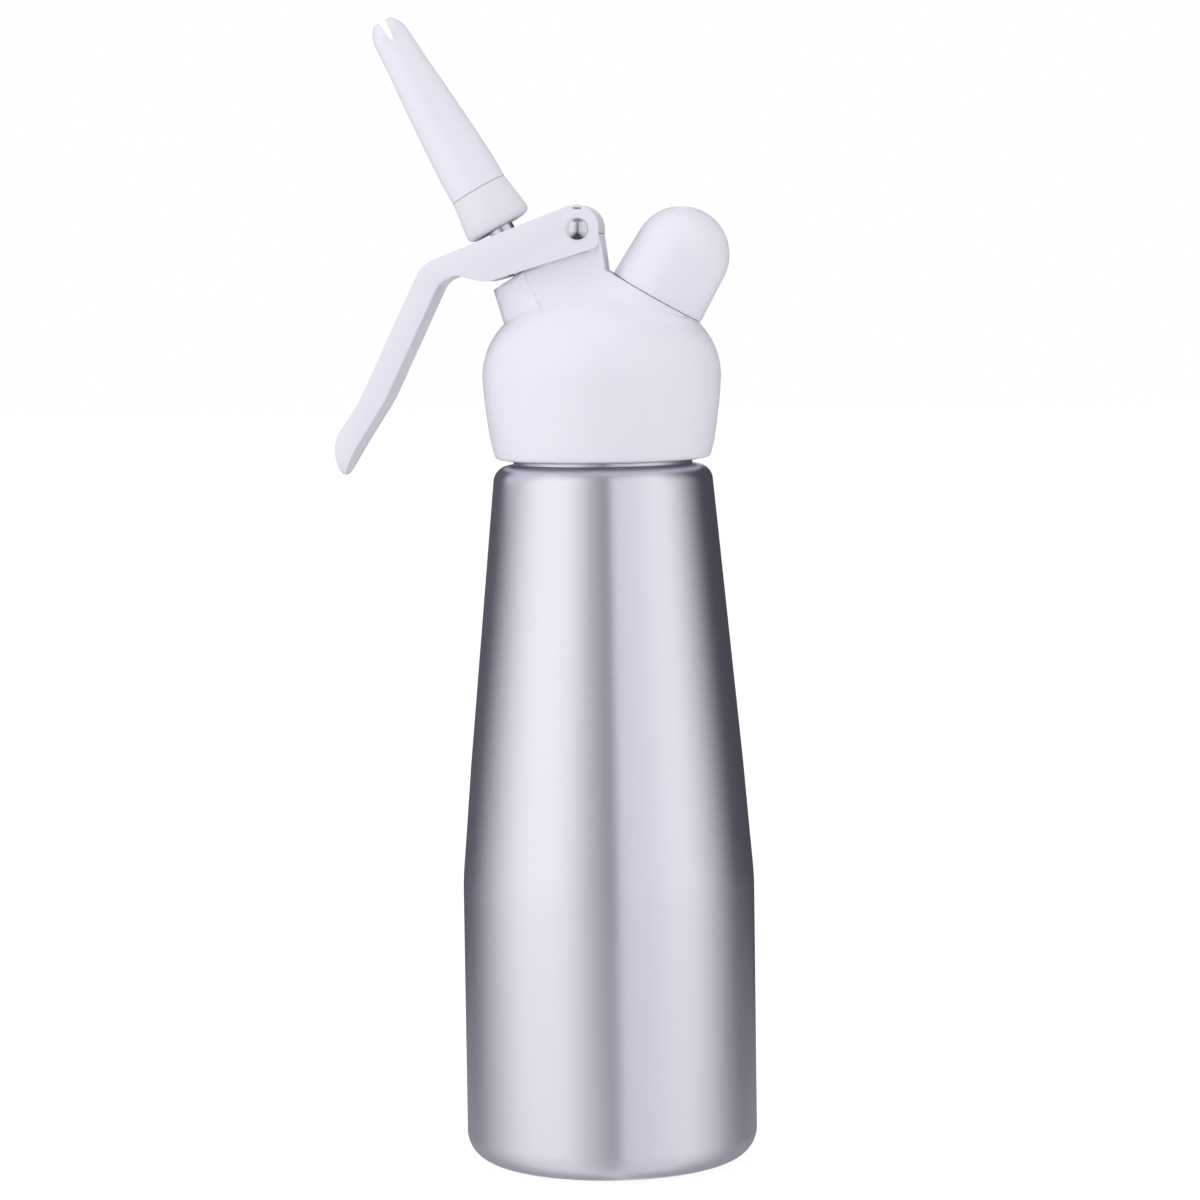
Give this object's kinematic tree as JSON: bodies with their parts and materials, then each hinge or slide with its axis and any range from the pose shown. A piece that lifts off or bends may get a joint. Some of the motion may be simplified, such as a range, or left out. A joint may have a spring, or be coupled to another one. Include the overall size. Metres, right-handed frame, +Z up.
{
  "type": "whipped cream dispenser",
  "caption": "Hand-held whipped cream dispenser: brushed metal bottle, white head, hand lever, tilted nozzle and capped charger port.",
  "frame": {"origin": "centre of the ring that the bottle stands on", "axes": "+Z up the bottle, +X towards the charger cap and away from the lever, +Y across the lever"},
  "size_m": [0.1067, 0.076, 0.2978],
  "materials": {
    "brushed_aluminium": "fine brushing round the bottle, satin",
    "white_plastic": "gloss moulded",
    "chrome": "polished",
    "stainless_steel": "turned",
    "spring_steel": "drawn wire",
    "silicone": "matt, translucent white",
    "black_rubber": "matt",
    "brass": "turned"
  },
  "bodies": {
    "bottle_body": {"bottle": "brushed_aluminium"},
    "head_body": {"head_housing": "white_plastic", "head_gasket": "silicone", "guide_bush": "brass", "stem_o_ring": "black_rubber", "return_spring": "spring_steel", "charger_port": "stainless_steel", "port_gasket": "black_rubber", "charger_gasket": "silicone", "pin_holder": "brass", "piercing_pin": "stainless_steel", "check_valve": "black_rubber"},
    "lever_body": {"lever": "white_plastic", "lever_pin": "chrome", "pin_cap": "chrome"},
    "stem_body": {"valve_stem": "stainless_steel", "push_collar": "stainless_steel", "valve_seal": "black_rubber", "seal_washer": "stainless_steel", "seal_nut": "stainless_steel", "nozzle_adapter": "white_plastic", "nozzle_gasket": "silicone"},
    "nozzle_body": {"decorator_nozzle": "white_plastic"},
    "cap_body": {"charger_cap": "white_plastic"}
  },
  "joints": [
    {"name": "head_lift", "type": "slide", "parent": "bottle_body", "child": "head_body", "axis": [0, 0, 1], "range_m": [0, 0.03]},
    {"name": "lever_hinge", "type": "hinge", "parent": "head_body", "child": "lever_body", "pos_m": [-0.0049, 0, 0.2425], "axis": [0, -1, 0], "range_deg": [0, 10], "stiffness_Nm_per_rad": 2, "springref_deg": -5.73},
    {"name": "valve_press", "type": "slide", "parent": "head_body", "child": "stem_body", "axis": [0.4879, 0, -0.8729], "range_m": [0, 0.0033], "deforming": ["return_spring"]},
    {"name": "nozzle_lift", "type": "slide", "parent": "stem_body", "child": "nozzle_body", "axis": [-0.4879, 0, 0.8729], "range_m": [0, 0.02]},
    {"name": "cap_lift", "type": "slide", "parent": "head_body", "child": "cap_body", "axis": [0.5015, 0, 0.8652], "range_m": [0, 0.1]}
  ],
  "couplings": [
    {"joint": "valve_press", "follows": "lever_hinge", "m_per_rad": 0.01844}
  ]
}
